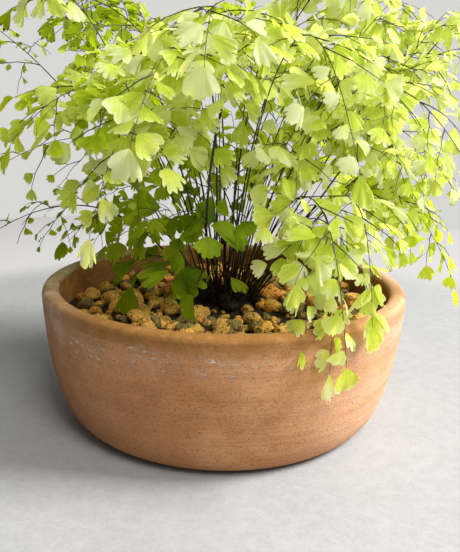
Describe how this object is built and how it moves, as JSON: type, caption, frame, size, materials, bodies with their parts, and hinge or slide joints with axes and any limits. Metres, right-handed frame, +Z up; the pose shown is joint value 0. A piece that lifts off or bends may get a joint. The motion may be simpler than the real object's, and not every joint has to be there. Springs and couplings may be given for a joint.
{
  "type": "potted maidenhair fern",
  "caption": "Maidenhair fern with wiry black stalks and fan-shaped leaflets, growing from gravel-topped soil in a wide, shallow terracotta bowl.",
  "frame": {"origin": "middle of the bowl's flat underside, on the surface it stands on", "axes": "+Z up, -Y towards the side that the picture shows, +X to that side's right"},
  "size_m": [0.3637, 0.3047, 0.2875],
  "materials": {
    "terracotta": "matte",
    "soil": "matte",
    "gravel": "matte",
    "stalk": "satin",
    "frond": "satin",
    "young_frond": "satin"
  },
  "bodies": {
    "root": {"pot": "terracotta", "soil": "soil", "gravel": "gravel", "stalk_01": "stalk", "frond_01": "frond", "stalk_02": "stalk", "frond_02": "frond", "stalk_03": "stalk", "frond_03": "frond", "stalk_04": "stalk", "frond_04": "frond", "stalk_05": "stalk", "frond_05": "frond", "stalk_06": "stalk", "frond_06": "frond", "stalk_07": "stalk", "frond_07": "frond", "stalk_08": "stalk", "frond_08": "frond", "stalk_09": "stalk", "frond_09": "frond", "stalk_10": "stalk", "frond_10": "frond", "stalk_11": "stalk", "frond_11": "frond", "stalk_12": "stalk", "frond_12": "frond", "stalk_13": "stalk", "frond_13": "frond", "stalk_14": "stalk", "frond_14": "frond", "stalk_15": "stalk", "frond_15": "frond", "stalk_16": "stalk", "frond_16": "frond", "stalk_17": "stalk", "frond_17": "frond", "stalk_18": "stalk", "frond_18": "frond", "stalk_19": "stalk", "frond_19": "frond", "stalk_20": "stalk", "frond_20": "frond", "stalk_21": "stalk", "frond_21": "frond", "stalk_22": "stalk", "frond_22": "frond", "stalk_23": "stalk", "frond_23": "frond", "stalk_24": "stalk", "frond_24": "frond", "stalk_25": "stalk", "frond_25": "frond", "stalk_26": "stalk", "frond_26": "frond", "young_frond_1": "young_frond", "young_frond_2": "young_frond", "young_frond_3": "young_frond", "young_frond_4": "young_frond"}
  },
  "joints": []
}
